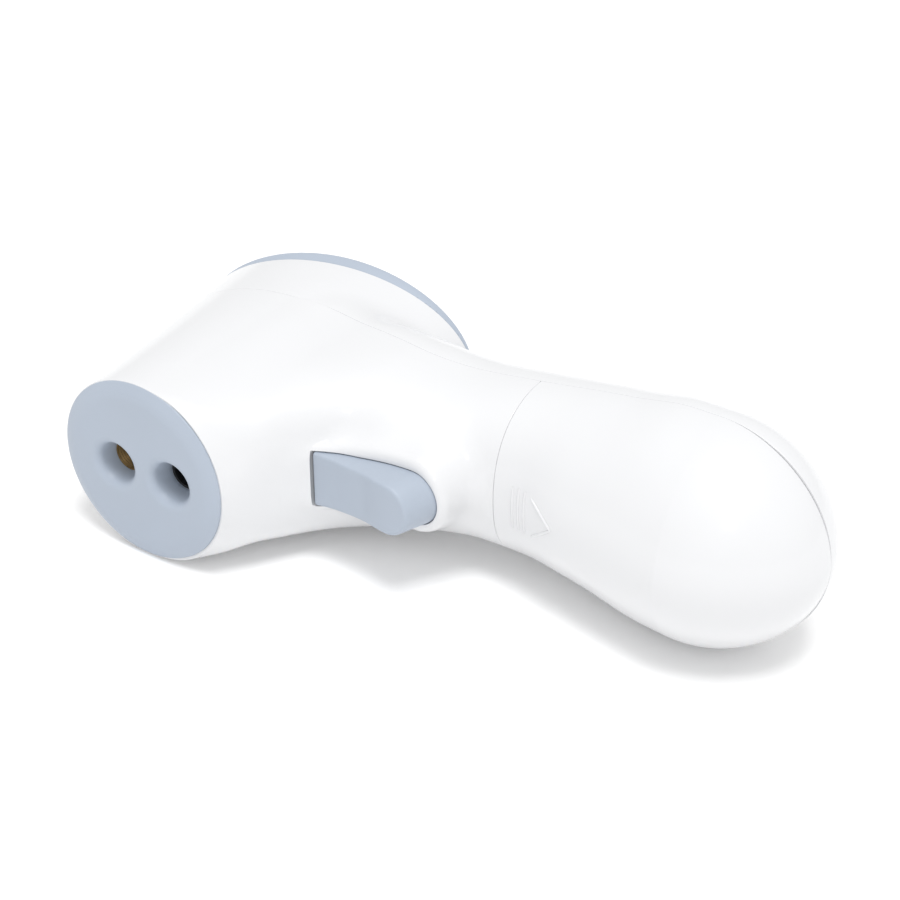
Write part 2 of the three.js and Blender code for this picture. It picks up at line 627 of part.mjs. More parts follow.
const wirePlus = () => wire([[57.9, 41, 6], [55, 41.5, 6.5], [46, 44, 7], [34, 44.5, 7], [26, 46, 6.5], [22, 50, 6]]);
const wireMinus = () => wire([[57.9, 41, -6], [55, 41.5, -6.5], [46, 44, -7], [34, 44.5, -7], [26, 46, -6.5],
  [22, 50, -6]]);
const switchWire = () => wire([[40, 29.4, 0], [38, 32, 2], [32, 37, 6], [24, 42, 8], [18, 47, 8], [17, 49.6, 8]]);

function sensorCable() {
  const path = new THREE.CatmullRomCurve3([[-12, 19.4, 0], [-14, 24, 0], [-14, 32, 0], [-13, 40, 0],
    [-12, 45.2, 0]].map((point) => new THREE.Vector3(...point)));
  const section = polygon([[-0.3, -3], [0.3, -3], [0.3, 3], [-0.3, 3]]);
  return solid(new THREE.ExtrudeGeometry(section, { steps: 10, bevelEnabled: false, extrudePath: path }));
}

// ---------- assembly ----------
const group = new THREE.Group();
const tool = new THREE.Group();
tool.rotation.y = -REST_TILT;
tool.position.set(...REST_SHIFT);
group.add(tool);

const displayStack = new THREE.Group();
displayStack.position.set(DISPLAY_X, DISPLAY_Y, 0);
displayStack.rotation.z = DISPLAY_TILT;
tool.add(displayStack);

function add(parent, name, manifold, material) {
  const mesh = new THREE.Mesh(geometryOf(manifold), material);
  mesh.name = name;
  parent.add(mesh);
}

add(tool, 'front_shell', frontShell(), WHITE);
add(tool, 'rear_shell', rearShell(), WHITE);
add(tool, 'battery_cover', batteryCover(), WHITE);
add(tool, 'sensor_bezel', sensorBezel(), BLUE_GREY);

add(tool, 'sensor_holder', sensorHolder(), BLACK);
add(tool, 'sensor_tube', sensorTube(), BRASS);
add(tool, 'distance_hood', distanceHood(), BLACK);
add(tool, 'thermopile_can', thermopileCan(), STEEL);
add(tool, 'thermopile_window', thermopileWindow(), LENS);
add(tool, 'distance_sensor', distanceSensor(), BLACK);
add(tool, 'sensor_board', sensorBoard(), BOARD);
add(tool, 'sensor_screw_1', screw(18.9, 8, -1, 0.8, -9), STEEL);
add(tool, 'sensor_screw_2', screw(18.9, 8, -1, 0.8, 9), STEEL);
add(tool, 'sensor_cable', sensorCable(), BLACK);

add(displayStack, 'display_bezel', displayBezel(), BLUE_GREY);
add(displayStack, 'display_window', displayWindow(), LENS);
add(displayStack, 'lcd_frame', lcdFrame(), WHITE);
add(displayStack, 'lcd_panel', lcdPanel(), LENS);
add(displayStack, 'lcd_backlight', lcdBacklight(), WHITE);
add(displayStack, 'zebra_strip_1', zebraStrip(-1), RUBBER);
add(displayStack, 'zebra_strip_2', zebraStrip(1), RUBBER);
add(displayStack, 'main_board', mainBoard(), BOARD);
add(displayStack, 'microcontroller', microcontroller(), BLACK);
add(displayStack, 'buzzer', buzzer(), BLACK);
add(displayStack, 'button_membrane', buttonMembrane(), RUBBER);
add(displayStack, 'memory_button', button(BUTTON_ZS[0]), WHITE);
add(displayStack, 'mode_button', button(BUTTON_ZS[1]), WHITE);
add(displayStack, 'sound_button', button(BUTTON_ZS[2]), WHITE);
add(displayStack, 'board_screw_1', screw(BOARD_LOW - 0.4, 5.4, 1, BOARD_SCREW_XS[0], 0, 0.8, 1.6), STEEL);
add(displayStack, 'board_screw_2', screw(BOARD_LOW - 0.4, 5.4, 1, BOARD_SCREW_XS[1], 0, 0.8, 1.6), STEEL);

add(tool, 'trigger', trigger(), BLUE_GREY);
add(tool, 'trigger_pin', triggerPin(), STEEL);
add(tool, 'trigger_spring', triggerSpring(), STEEL);
add(tool, 'trigger_switch', triggerSwitch(), BLACK);
add(tool, 'switch_plunger', switchPlunger(), WHITE);
add(tool, 'switch_board', switchBoard(), BOARD);
add(tool, 'switch_wire', switchWire(), BLACK);

add(tool, 'battery_tray', batteryTray(), WHITE);
add(tool, 'battery_1', cell(CELL_Z, 1), CELL);
add(tool, 'battery_2', cell(-CELL_Z, -1), CELL);
add(tool, 'contact_plus', contactPlus(), STEEL);
add(tool, 'contact_minus', contactMinus(), STEEL);
add(tool, 'bridge_contact', bridgeContact(), STEEL);
add(tool, 'tray_screw_1', screw(TRAY_FLOOR - 0.35, 8, 1, 72, 0), STEEL);
add(tool, 'tray_screw_2', screw(TRAY_FLOOR - 0.35, 8, 1, 96, 0), STEEL);
add(tool, 'wire_plus', wirePlus(), RED);
add(tool, 'wire_minus', wireMinus(), BLACK);

export default group;
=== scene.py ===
"""A pistol-shaped digital thermometer lying on its side, on a white floor.

Shapes are worked out in the tool's own frame, in millimetres: +X runs down the handle, +Y runs
from the sensor face back to the display, and Z is across. lay() then puts them in the CAD frame.
"""
import json
import math

import bpy
import numpy as np
from mathutils import Matrix, Vector


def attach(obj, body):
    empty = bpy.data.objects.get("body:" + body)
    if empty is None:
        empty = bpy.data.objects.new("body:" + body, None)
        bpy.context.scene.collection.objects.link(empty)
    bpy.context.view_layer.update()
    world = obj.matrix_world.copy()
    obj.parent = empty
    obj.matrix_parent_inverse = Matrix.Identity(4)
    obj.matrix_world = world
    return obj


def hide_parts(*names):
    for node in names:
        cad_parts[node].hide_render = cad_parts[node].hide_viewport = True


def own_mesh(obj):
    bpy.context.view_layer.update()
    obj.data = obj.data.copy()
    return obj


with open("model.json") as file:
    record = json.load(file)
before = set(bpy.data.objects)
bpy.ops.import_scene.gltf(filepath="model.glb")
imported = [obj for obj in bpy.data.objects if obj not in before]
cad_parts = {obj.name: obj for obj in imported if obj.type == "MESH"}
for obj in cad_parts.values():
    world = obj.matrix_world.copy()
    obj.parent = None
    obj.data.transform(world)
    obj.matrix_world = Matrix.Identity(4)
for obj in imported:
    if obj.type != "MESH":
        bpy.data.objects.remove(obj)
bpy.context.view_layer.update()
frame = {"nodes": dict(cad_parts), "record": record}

# ---------- driving dimensions, as in the CAD source ----------
MM = 0.001
REST_TILT = math.radians(2.0)
REST_SHIFT = np.array([-43.812, -32.569, 18.012])
FACE_RADIUS = 18.0
FACE_SEAM = 0.1
FACE_FLARE = 0.42
FACE_FLARE_GROWTH = 0.05
FACE_EASE = 0.4
FACE_REACH = 22.0
FACE_RELEASE = 3.0
FACE_BLEND = 0.8
DISPLAY_X = 1.25
DISPLAY_Y = 57.4
DISPLAY_TILT = math.radians(9.3)
DISPLAY_HALF_LENGTH = 29.7
DISPLAY_HALF_WIDTH = 18.0
DISPLAY_RIM = 3.5
BULB_START = 94.2
BULB_LENGTH = 22.0
NECK_START = 12.0
NECK_BLEND = 4.0
COLLAR_BLEND = 3.4
COLLAR_RADIUS = 7.1
COLLAR_FLARE = 0.32
COLLAR_DEPTH = 32.0
COLLAR_EVEN_Y = 19.0            # where the collar has its own radius
COLLAR_FRONT_REACH = 2.0        # ahead of that it narrows no further than this
COLLAR_HEAD_INSET = 3.7
COLLAR_END_INSET = 0.5
COLLAR_EDGE = 1.5
COVER_START = 57.6
END_OVERRUN = 11.0
TRIGGER_HEAD_X = 27.3
TRIGGER_END_CENTRE = 45.5
TRIGGER_HALF_WIDTH = 5.2
TRIGGER_HEAD_WIDTH = 5.65
TRIGGER_EVEN_X = 35.0
TRIGGER_BACK = 21.6
TRIGGER_TIP_Y = 14.0
TRIGGER_TIP_DEPTH = 5.5         # over this depth the round end moves on by its lean and its draft
TRIGGER_TIP_CENTRE = 43.7
TRIGGER_TIP_LEAN = 1.9
TRIGGER_TIP_HALF_WIDTH = 5.1
TRIGGER_TIP_DRAFT = 0.1
TRIGGER_FRONT_EDGE = 0.6
TRIGGER_HEAD_EDGE = 0.3
SPRING_X = 37.5
SPRING_SEAT = 27.0
SPRING_GAP = 0.35
SPRING_RADIUS = 1.5
SPRING_WIRE = 0.25
SPRING_TURNS = 4
SENSOR_X = -5.55
DISTANCE_X = 7.1
FUNNEL_DEPTH = 3.2
FUNNEL_THROAT = 3.2
FUNNEL_SLOPE = 0.25
FUNNEL_EDGE = 1.5
BOSS_RADIUS = 5.1
BOSS_START = 0.6
BOSS_OVERRUN = 1.0
BEZEL_BACK = 2.2
FACE_PROUD = -1.0               # the drawn face stands a little further forward than the solid one
FACE_GAP = 0.1
RIM_WIDTH = 2.4                 # the slanted band round the face
RIM_DEPTH = 1.1
RIM_INNER_EDGE = 0.5
RIM_OUTER_EDGE = 0.3
RIDGE_XS = (61.4, 62.6, 63.9)
RIDGE_Y = 24.8
RIDGE_ZS = (-5.2, -0.4, 4.4)
RIDGE_WIDTH = 0.55
RIDGE_HEIGHT = 0.2
ARROW = ((65.3, 24.6, -4.9), (70.4, 23.5, -0.6), (65.3, 24.6, 3.7))
ARROW_WIDTH = 0.6
ARROW_HEIGHT = 0.22
WALL = 2.0

# ---------- how the visual model is drawn ----------
BODY_STEP = 1.0                 # mesh sizes, in millimetres
BEZEL_STEP = 0.4
TRIGGER_STEP = 0.35
DISPLAY_STEP = 0.45
MEMBRANE_STEP = 0.2
SEAM_HALF_GAP = 0.02            # half the open width of a seam between two mouldings
POCKET_GAP = 0.2                # beside the trigger
POCKET_END = 30.0               # the trigger's pocket is only cut this far back
SEAM_EDGE = 0.1                 # radius on the mouldings' edges beside a seam
FIELD_LOW = (-36.0, -15.0, -24.0)
FIELD_HIGH = (122.0, 78.0, 24.0)
ON_LIMIT = 0.05                 # a rim point this near a limit was cut by it
EDGE_MOVE = 0.1                 # the most that a rim point moves in one round


# ---------- fields: negative inside, near enough a distance close to the surface ----------
def curve(stations):
    """A smooth curve through a few (x, value) stations, flat beyond the first and last."""
    xs, values = (np.array(column, float) for column in zip(*stations))
    spans = np.diff(xs)
    rises = np.diff(values) / spans
    slopes = np.empty(len(xs))
    slopes[0], slopes[-1] = rises[0], rises[-1]
    slopes[1:-1] = (rises[:-1] * spans[1:] + rises[1:] * spans[:-1]) / (spans[1:] + spans[:-1])

    def at(x):
        x = np.clip(x, xs[0], xs[-1])
        i = np.clip(np.searchsorted(xs, x) - 1, 0, len(xs) - 2)
        span = spans[i]
        t = (x - xs[i]) / span
        ends = values[i] * (1 + 2 * t) * (1 - t) ** 2 + values[i + 1] * t * t * (3 - 2 * t)
        return ends + span * (slopes[i] * t * (1 - t) ** 2 + slopes[i + 1] * t * t * (t - 1))

    return at


split_y = curve([(-28, 38.5), (0, 41.8), (14, 42.7), (24, 41.4), (34, 40.4), (46, 41.9), (58, 42.4),
                 (70, 43), (84, 41.9), (95, 41), (106, 39.9), (117, 39)])
front_y = curve([(8, -30), (14, -10), (18, 0.5), (21, 5.9), (24, 11), (27, 15.1), (31, 19), (37, 21),
                 (44, 23.3), (52, 26), (61, 26.7), (71, 24.3), (82, 21.7), (93, 19.4)])
back_y = curve([(8, 55), (30, 56.5), (45, 57.5), (60, 58.4), (75, 58.6), (93, 56.6)])
half_width = curve([(8, 16.4), (30, 16.9), (45, 15.3), (57, 16.4), (66, 17.4), (76, 18.9), (86, 21),
                    (93, 21.3)])
squareness = curve([(8, 3.3), (30, 3.1), (45, 2.5), (58, 2.3), (75, 2.05), (93, 1.9)])
collar_y = curve([(24, 13), (27, 14.8), (33, 17.6), (37, 18.7), (44.5, 19.6), (51, 19), (60, 18.5)])
trigger_y = curve([(27.5, 14.8), (31, 15), (34.8, 14.8), (38.6, 14.45), (41, 13.9), (43.7, 13.4),
                   (45.6, 13.2), (48.6, 12.9)])


def superellipse(terms, radii, power):
    sizes = [np.abs(term) + 1e-9 for term in terms]
    reach = sum(size ** power for size in sizes) ** (1 / power)
    slopes = sum((size ** (power - 1) / radius) ** 2 for size, radius in zip(sizes, radii))
    return (reach - 1) / (reach ** (1 - power) * np.sqrt(slopes))


def blend(a, b, radius):
    """Either shape, with a fillet where they meet."""
    share = np.maximum(radius - np.abs(a - b), 0) / radius
    return np.minimum(a, b) - share * share * radius / 4


def overlap(a, b, radius):
    """What is inside both shapes, with a rounded edge."""
    return -blend(-a, -b, radius)


def carve(a, b, radius):
    """The first shape less the second, with a rounded edge."""
    return overlap(a, -b, radius)


def display_height(x, y):
    """How far a point is past the display end's plane."""
    return (y - DISPLAY_Y) * math.cos(DISPLAY_TILT) - (x - DISPLAY_X) * math.sin(DISPLAY_TILT)


def head_field(x, y, z):
    share = y / (DISPLAY_Y + math.tan(DISPLAY_TILT) * (x - DISPLAY_X))
    length = FACE_RADIUS + (DISPLAY_HALF_LENGTH * math.cos(DISPLAY_TILT) - FACE_RADIUS) * share
    width = FACE_RADIUS + (DISPLAY_HALF_WIDTH - FACE_RADIUS) * share
    return superellipse([(x - DISPLAY_X * share) / length, 0 * x, z / width], [length, 1, width], 2)


def neck_field(x, y, z):
    middle = split_y(x)
    front = y < middle
    depth = np.where(front, middle - front_y(x), back_y(x) - middle)
    width = half_width(x)
    power = np.where(front, squareness(x), 2.0)
    end = np.maximum(x - BULB_START, 0) / BULB_LENGTH + np.maximum(NECK_START - x, 0) / NECK_START
    return superellipse([end, (y - middle) / depth, z / width], [BULB_LENGTH, depth, width], power)


def collar_field(x, y, z):
    along = np.clip(x, TRIGGER_HEAD_X + COLLAR_HEAD_INSET, TRIGGER_END_CENTRE - COLLAR_END_INSET)
    flare = COLLAR_FLARE * np.maximum(y - COLLAR_EVEN_Y, -COLLAR_FRONT_REACH)
    side = np.hypot(x - along, z) - COLLAR_RADIUS - flare
    return overlap(np.maximum(side, y - COLLAR_DEPTH), collar_y(x) - y, COLLAR_EDGE)


def face_limit(x, y, z):
    back = np.maximum(y - FACE_SEAM, 0)
    reach = FACE_RADIUS + FACE_EASE + FACE_FLARE * back + FACE_FLARE_GROWTH * back ** 2
    return np.hypot(x, z) - reach - FACE_RELEASE * np.maximum(x - FACE_REACH, 0)


def body_field(x, y, z):
    main = blend(head_field(x, y, z), neck_field(x, y, z), NECK_BLEND)
    trimmed = overlap(main, face_limit(x, y, z), FACE_BLEND)
    whole = blend(trimmed, collar_field(x, y, z), COLLAR_BLEND)
    past_display = y - DISPLAY_Y - math.tan(DISPLAY_TILT) * (x - DISPLAY_X) - END_OVERRUN
    return np.maximum(whole, np.maximum(-END_OVERRUN - y, past_display))


def trigger_sides(x, z, centre, half):
    """Round at the far end and a little wider at the head, seen along Y."""
    widening = (TRIGGER_HEAD_WIDTH - TRIGGER_HALF_WIDTH) / (TRIGGER_EVEN_X - TRIGGER_HEAD_X)
    wider = widening * np.maximum(TRIGGER_EVEN_X - x, 0)
    return np.hypot(np.maximum(x - centre, 0), z) - half - wider


def trigger_field(x, y, z):
    share = (y - TRIGGER_TIP_Y) / TRIGGER_TIP_DEPTH
    centre = TRIGGER_TIP_CENTRE + TRIGGER_TIP_LEAN * share
    sides = trigger_sides(x, z, centre, TRIGGER_TIP_HALF_WIDTH + TRIGGER_TIP_DRAFT * share)
    fronted = overlap(sides, trigger_y(x) - y, TRIGGER_FRONT_EDGE)
    headed = overlap(fronted, TRIGGER_HEAD_X - x, TRIGGER_HEAD_EDGE)
    return np.maximum(headed, y - TRIGGER_BACK)


def bezel_field(x, y, z):
    """A disc with a boss behind each opening, inside a front that the funnels are cut from."""
    inward = FACE_RADIUS - FACE_GAP - np.hypot(x, z)
    slope = math.atan2(RIM_DEPTH, RIM_WIDTH)
    slant = (RIM_WIDTH - inward) * math.sin(slope) - (y - FACE_PROUD) * math.cos(slope)
    front = overlap(overlap(FACE_PROUD - y, slant, RIM_INNER_EDGE), -inward, RIM_OUTER_EDGE)
    disc = np.maximum(front, y - BEZEL_BACK)
    for centre in (SENSOR_X, DISTANCE_X):
        from_middle = np.hypot(x - centre, z)
        boss = np.maximum(from_middle - BOSS_RADIUS, y - FUNNEL_DEPTH - BOSS_OVERRUN)
        disc = np.minimum(disc, np.maximum(boss, BOSS_START - y))
        funnel = from_middle - FUNNEL_THROAT - FUNNEL_SLOPE * np.maximum(FUNNEL_DEPTH - y, 0)
        front = carve(front, funnel, FUNNEL_EDGE)
    return np.maximum(disc, front)


# ---------- the display end, in its own frame: y is outward ----------
DISPLAY_TURN = np.array(Matrix.Rotation(DISPLAY_TILT, 3, "Z"))
DISPLAY_INSET = 0.12            # its foot stands this far inside the housing's end
DISPLAY_FLARE = 0.34            # how far the bezel's side leans out, per millimetre of height
DISPLAY_CROWN = 0.002           # how its front drops towards both ends
DISPLAY_ROUNDING = 2.4
WINDOW_X = -4.0
WINDOW_HALF = (12.4, 9.4)
WINDOW_CORNER = 3.5
LIP_WIDTH = 1.25                # the bevelled step round the window
LIP_FLOOR = 1.5
LIP_EDGE = 0.7
BUTTON_NAMES = ("memory_button", "mode_button", "sound_button")
BUTTON_X = 16.4
BUTTON_ZS = (-7.3, 0.0, 7.3)
BUTTON_RADIUS = 2.85
BUTTON_GAP = 0.25
BUTTON_HOLE_EDGE = 0.8
BUTTON_FLANGE = 0.6
BUTTON_SIDE_TOP = 3.3
BUTTON_EDGE = 0.55
MEMBRANE_FACE = -4.4
MEMBRANE_HALF_THICKNESS = 0.5
MEMBRANE_HALF_WIDTH = 3.3
MEMBRANE_OFFSET = 0.7
MEMBRANE_OVAL = (24.4, 13.7)
DOME_HOLE = 2.3


def window_outline(x, z, margin):
    corner = WINDOW_CORNER + margin
    dx = np.abs(x - WINDOW_X) - WINDOW_HALF[0] - margin + corner
    dz = np.abs(z) - WINDOW_HALF[1] - margin + corner
    outside = np.hypot(np.maximum(dx, 0), np.maximum(dz, 0))
    return outside + np.minimum(np.maximum(dx, dz), 0) - corner


def display_field(x, y, z):
    grown = DISPLAY_FLARE * y - DISPLAY_INSET
    half = (DISPLAY_HALF_LENGTH + grown, DISPLAY_HALF_WIDTH + grown)
    side = superellipse([x / half[0], 0 * x, z / half[1]], [half[0], 1, half[1]], 2)
    rim = overlap(side, y - DISPLAY_RIM + DISPLAY_CROWN * x ** 2, DISPLAY_ROUNDING)
    plate = np.maximum(rim, SEAM_HALF_GAP - y)
    opened = np.maximum(plate, -window_outline(x, z, 0))
    opened = carve(opened, np.maximum(window_outline(x, z, LIP_WIDTH), LIP_FLOOR - y), LIP_EDGE)
    for z_middle in BUTTON_ZS:
        hole = np.hypot(x - BUTTON_X, z - z_middle) - BUTTON_RADIUS - BUTTON_GAP
        opened = carve(opened, hole, BUTTON_HOLE_EDGE)
    return opened


def membrane_field(x, y, z):
    """The sheet under the buttons, with a hole for each dome."""
    side = np.abs(x - BUTTON_X + MEMBRANE_OFFSET) - MEMBRANE_HALF_WIDTH
    thick = np.abs(y - MEMBRANE_FACE + MEMBRANE_HALF_THICKNESS) - MEMBRANE_HALF_THICKNESS
    half_length, half_height = MEMBRANE_OVAL
    oval = (np.hypot(x / half_length, z / half_height) - 1) * half_height
    sheet = np.maximum(np.maximum(side, thick), oval)
    for centre in BUTTON_ZS:
        sheet = np.maximum(sheet, DOME_HOLE - np.hypot(x - BUTTON_X, z - centre))
    return sheet


# ---------- meshing ----------
def slope_of(field, points, reach=1e-3):
    """The field's gradient at each point."""
    columns = []
    for axis in range(3):
        offset = np.zeros(3)
        offset[axis] = reach
        ahead = field(*(points + offset).T)
        behind = field(*(points - offset).T)
        columns.append((ahead - behind) / (2 * reach))
    return np.stack(columns, 1)


def unit(vectors):
    return vectors / np.maximum(np.linalg.norm(vectors, axis=1, keepdims=True), 1e-9)


def settle(field, points, limit, rounds=3):
    """Moves points onto the field's surface along its slope, by at most limit in each round."""
    for _ in range(rounds):
        value = np.clip(field(*points.T), -limit, limit)
        slope = slope_of(field, points)
        points = points - slope * (value / np.maximum((slope ** 2).sum(1), 1e-6))[:, None]
    return points


def surface(field, low, high, step):
    """The closed surface where field(x, y, z) is zero: its points and triangles."""
    axes = [np.arange(low[a], high[a] + step, step) for a in range(3)]
    grid = np.meshgrid(*axes, indexing="ij")
    values = field(*grid)
    inside = values < 0
    cells = tuple(n - 1 for n in values.shape)
    number = np.zeros(cells)
    total = np.zeros(cells + (3,))
    for axis in range(3):
        others = [a for a in range(3) if a != axis]
        for shift in ((0, 0), (0, 1), (1, 0), (1, 1)):
            near = [slice(0, -1)] * 3
            for other, by in zip(others, shift):
                near[other] = slice(by, values.shape[other] - 1 + by)
            far = list(near)
            far[axis] = slice(1, None)
            near, far = tuple(near), tuple(far)
            crossed = inside[near] != inside[far]
            drop = np.where(crossed, values[near] - values[far], 1)
            share = np.where(crossed, values[near] / drop, 0)
            for a in range(3):
                place = grid[a][near] + (grid[a][far] - grid[a][near]) * share
                total[..., a] += np.where(crossed, place, 0)
            number += crossed
    active = number > 0
    index = np.full(cells, -1)
    index[active] = np.arange(active.sum())
    points = total[active] / number[active][:, None]
    quads = []
    for axis in range(3):
        second, third = (axis + 1) % 3, (axis + 2) % 3
        near = [slice(1, -1)] * 3
        near[axis] = slice(0, -1)
        far = list(near)
        far[axis] = slice(1, None)
        starts_inside = inside[tuple(near)]
        crossed = starts_inside != inside[tuple(far)]
        ring = []
        for m, n in ((-1, -1), (0, -1), (0, 0), (-1, 0)):
            window = [slice(None)] * 3
            window[second] = slice(1 + m, cells[second] + m if m < 0 else None)
            window[third] = slice(1 + n, cells[third] + n if n < 0 else None)
            ring.append(index[tuple(window)][crossed])
        ring = np.stack(ring, 1)
        quads.append(np.where(starts_inside[crossed][:, None], ring, ring[:, ::-1]))
    quads = np.concatenate(quads)
    triangles = np.concatenate([quads[:, [0, 1, 2]], quads[:, [0, 2, 3]]])
    return settle(field, points, step / 2), triangles


def clip(points, triangles, limit):
    """Keeps the part of a mesh where limit(x, y, z) is negative, cut along zero."""
    values = limit(*points.T)
    values = np.where(np.abs(values) < 1e-6, 1e-6, values)
    inside = values < 0
    count = inside[triangles].sum(1)
    kept = [triangles[count == 3]]
    starts, ends, groups = [], [], []
    for number in (1, 2):
        mixed = triangles[count == number]
        odd = (inside[mixed] == (number == 1)).argmax(1)
        turned = np.stack([mixed[np.arange(len(mixed)), (odd + k) % 3] for k in range(3)], 1)
        groups.append(turned)
        starts += [turned[:, 0], turned[:, 0]]
        ends += [turned[:, 1], turned[:, 2]]
    pairs = np.sort(np.stack([np.concatenate(starts), np.concatenate(ends)], 1), axis=1)
    edges, place = np.unique(pairs, axis=0, return_inverse=True)
    place = place.reshape(-1) + len(points)
    a, b = edges.T
    share = (values[a] / (values[a] - values[b]))[:, None]
    points = np.concatenate([points, points[a] + (points[b] - points[a]) * share])
    one, two = groups
    cuts = np.split(place, np.cumsum([len(one), len(one), len(two)]))
    kept.append(np.stack([one[:, 0], cuts[0], cuts[1]], 1))
    kept.append(np.stack([cuts[2], two[:, 1], two[:, 2]], 1))
    kept.append(np.stack([cuts[2], two[:, 2], cuts[3]], 1))
    triangles = np.concatenate(kept)
    used, triangles = np.unique(triangles, return_inverse=True)
    return points[used], triangles.reshape(-1, 3)


def open_edges(triangles, count):
    """The directed edges that only one triangle has."""
    edges = np.concatenate([triangles[:, [0, 1]], triangles[:, [1, 2]], triangles[:, [2, 0]]])
    keys = edges[:, 0] * count + edges[:, 1]
    mirrored = edges[:, 1] * count + edges[:, 0]
    return edges[~np.isin(keys, mirrored)]


def onto_edges(field, limits, points, rim):
    """Moves the rim's points onto the surface and onto each limit they were cut by."""
    places = points[rim]
    owned = np.stack([np.abs(limit(*places.T)) < ON_LIMIT for limit in limits], 1)
    for _ in range(4):
        places = settle(field, places, EDGE_MOVE, 1)
        for number, limit in enumerate(limits):
            moved = settle(limit, places, EDGE_MOVE, 1)
            places = np.where(owned[:, number][:, None], moved, places)
    points[rim] = places
    return owned


def moulding(field, limits, profiles, straight=None):
    """A thin moulding with the field's outer form, kept where every limit is negative.

    Each cut edge is rounded, then follows its limit's profile of (outward, deep) places into the
    wall. straight is the limit whose wall goes along +Y instead of square to the surface.
    """
    points, triangles = surface(field, FIELD_LOW, FIELD_HIGH, BODY_STEP)
    for limit in limits:
        points, triangles = clip(points, triangles, limit)
    edges = open_edges(triangles, len(points))
    rim = np.unique(edges)
    owned = onto_edges(field, limits, points, rim)
    normals = unit(slope_of(field, points))
    normal = normals[rim]
    directions = []
    for number, limit in enumerate(limits):
        slope = slope_of(limit, points[rim])
        flat = unit(slope - normal * (slope * normal).sum(1)[:, None])
        directions.append(np.where(owned[:, number][:, None], flat, 0))
    outward = sum(directions)
    corner = owned.sum(1) > 1
    if corner.any():
        stacked = np.stack([d[corner] for d in directions], 1)
        wanted = owned[corner].astype(float)[:, :, None]
        outward[corner] = (np.linalg.pinv(stacked) @ wanted)[:, :, 0]
    inward = -normal.copy()
    if straight is not None:
        inward[owned[:, limits.index(straight)]] = (0, 1, 0)

    rings, ring_normals = [rim], [normal]
    made, made_normals = [points], [normals]
    place = np.full(len(points), -1)
    place[rim] = np.arange(len(rim))
    total = len(points)
    for angle in np.radians((30, 60, 90)):
        ahead, deep = SEAM_EDGE * math.sin(angle), SEAM_EDGE * (1 - math.cos(angle))
        made.append(points[rim] + outward * ahead + inward * deep)
        made_normals.append(unit(-inward * math.cos(angle) + outward * math.sin(angle)))
        rings.append(np.arange(total, total + len(rim)))
        total += len(rim)
    owner = owned.argmax(1)
    for places in zip(*profiles):
        ahead, deep = np.array(places)[owner].T[:, :, None]
        made.append(points[rim] + outward * (SEAM_EDGE + ahead) + inward * deep)
        made_normals.append(np.zeros_like(normal))
        rings.append(np.arange(total, total + len(rim)))
        total += len(rim)
    made.append(points - normals * WALL)
    made_normals.append(np.zeros_like(points))
    rings.append(rim + total)
    faces = [triangles, triangles[:, ::-1] + total]
    first, second = place[edges[:, 0]], place[edges[:, 1]]
    for outer, inner in zip(rings[:-1], rings[1:]):
        faces.append(np.stack([outer[second], outer[first], inner[first]], 1))
        faces.append(np.stack([outer[second], inner[first], inner[second]], 1))
    return np.concatenate(made), np.concatenate(faces), np.concatenate(made_normals)


def turned(outline, x=0.0, z=0.0, sides=64):
    """A (radius, y) outline, closed or from axis to axis, turned about a line along Y."""
    angles = np.arange(sides) * 2 * math.pi / sides
    points = [(x + r * math.cos(a), y, z + r * math.sin(a)) for r, y in outline for a in angles]
    faces = []
    for row in range(len(outline) - 1):
        for side in range(sides):
            a, b = row * sides + side, row * sides + (side + 1) % sides
            faces += [(a, b, b + sides), (a, b + sides, a + sides)]
    return np.array(points), np.array(faces)


def coil(radius, wire, turns, start, end, x):
    """A round wire wound about the line at x along y, closed at both ends."""
    steps, sides = turns * 24, 10
    wound = np.linspace(0, turns * 2 * math.pi, steps + 1)
    outward = np.stack([np.cos(wound), 0 * wound, np.sin(wound)], 1)
    climb = np.linspace(start + wire, end - wire, steps + 1)
    centre = outward * radius + np.stack([0 * wound + x, climb, 0 * wound], 1)
    across = unit(np.cross(outward, unit(np.gradient(centre, axis=0))))
    rings = [centre + wire * (outward * math.cos(angle) + across * math.sin(angle))
             for angle in np.arange(sides) * 2 * math.pi / sides]
    points = np.concatenate([np.stack(rings, 1).reshape(-1, 3), centre[:1], centre[-1:]])
    first_end, last_end, last_ring = len(points) - 2, len(points) - 1, steps * sides
    faces = []
    for side in range(sides):
        after = (side + 1) % sides
        for row in range(steps):
            a, b = row * sides + side, row * sides + after
            faces += [(a, b, b + sides), (a, b + sides, a + sides)]
        faces += [(after, side, first_end), (last_ring + side, last_ring + after, last_end)]
    return points, np.array(faces)


def ridge(field, path, width, height):
    """A low rounded rib on the field's surface, along a path of (x, y, z) places."""
    line = []
    for start, end in zip(path[:-1], path[1:]):
        for share in np.arange(0, 1, 0.1):
            line.append(np.array(start) + (np.array(end) - np.array(start)) * share)
    line.append(np.array(path[-1]))
    line = settle(field, np.array(line, float), 2.0, 6)
    normal = unit(slope_of(field, line))
    ahead = unit(np.gradient(line, axis=0))
    side = unit(np.cross(ahead, normal))
    ends = np.minimum(np.arange(len(line)), np.arange(len(line))[::-1])
    taper = np.clip(0.35 + ends * 0.45, 0, 1)[:, None]
    points = []
    angles = np.radians(np.linspace(-20, 200, 9))
    for angle in angles:
        across = side * width / 2 * math.cos(angle) * taper
        points.append(line + across + normal * height * math.sin(angle) * taper)
    points = np.stack(points, 1).reshape(-1, 3)
    faces = []
    for row in range(len(line) - 1):
        for k in range(len(angles) - 1):
            a = row * len(angles) + k
            faces += [(a, a + len(angles), a + 1), (a + 1, a + len(angles), a + len(angles) + 1)]
    return points, np.array(faces)


